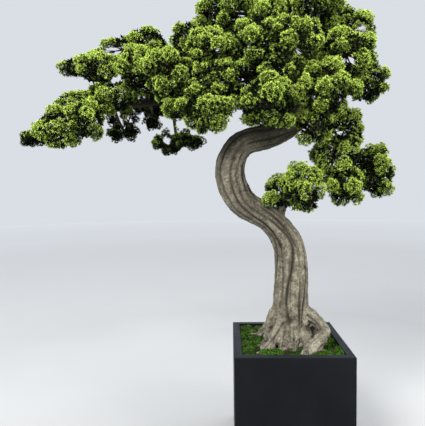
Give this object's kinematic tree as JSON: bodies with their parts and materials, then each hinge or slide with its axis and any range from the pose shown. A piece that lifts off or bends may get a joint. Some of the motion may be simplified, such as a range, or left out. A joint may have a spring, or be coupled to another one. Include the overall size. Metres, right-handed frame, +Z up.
{
  "type": "bonsai tree in planter",
  "caption": "Needle-leaved bonsai tree with a trunk that bends into an S, clipped pads of foliage and surface roots in moss, in a square black planter.",
  "frame": {"origin": "centre of the planter's flat underside, on the floor", "axes": "+Z up, -Y towards the front of the tree, +X to the right as seen from the front"},
  "size_m": [1.5261, 0.7342, 2.0292],
  "materials": {
    "planter_shell": "matte",
    "potting_soil": "matte",
    "moss_cushions": "matte",
    "trunk_bark": "matte",
    "bough_bark": "matte",
    "needles": "matte",
    "needles_in_shade": "matte"
  },
  "bodies": {
    "root": {"planter": "planter_shell", "soil": "potting_soil", "moss": "moss_cushions", "trunk": "trunk_bark", "trunk_upper": "trunk_bark", "bough_left_low": "bough_bark", "bough_left_high": "bough_bark", "bough_front_left": "bough_bark", "bough_front": "bough_bark", "bough_front_high": "bough_bark", "bough_right_high": "bough_bark", "bough_right": "bough_bark", "bough_right_low": "bough_bark", "bough_low_right": "bough_bark", "bough_back_left": "bough_bark", "left_tip": "needles_in_shade", "left_front_pad": "needles", "left_second_pad": "needles", "left_shelf": "needles", "left_mid_pad": "needles", "left_hanging": "needles_in_shade", "upper_tip": "needles", "upper_front": "needles", "upper_back": "needles", "crest_end": "needles", "shoulder_left": "needles", "shoulder_front": "needles", "shoulder_low": "needles", "shoulder_under": "needles_in_shade", "low_left_pad": "needles", "low_front_pad": "needles", "low_hanging": "needles_in_shade", "crown_left_edge": "needles", "crown_left": "needles", "crown_left_low": "needles", "crown_centre": "needles", "crown_upper": "needles", "crown_top_front": "needles", "front_upper": "needles", "top_left": "needles", "front_big": "needles", "front_mid": "needles", "right_front": "needles", "right_shelf": "needles", "right_low_edge": "needles", "right_top": "needles", "right_drop": "needles", "right_inner_low": "needles", "right_outer_low": "needles", "low_branch_left": "needles", "low_branch_front": "needles", "low_branch_mid": "needles", "low_branch_tip": "needles", "top_peak": "needles", "top_right": "needles", "back_left": "needles", "back_centre": "needles", "back_right": "needles", "back_low": "needles", "back_top": "needles"}
  },
  "joints": []
}
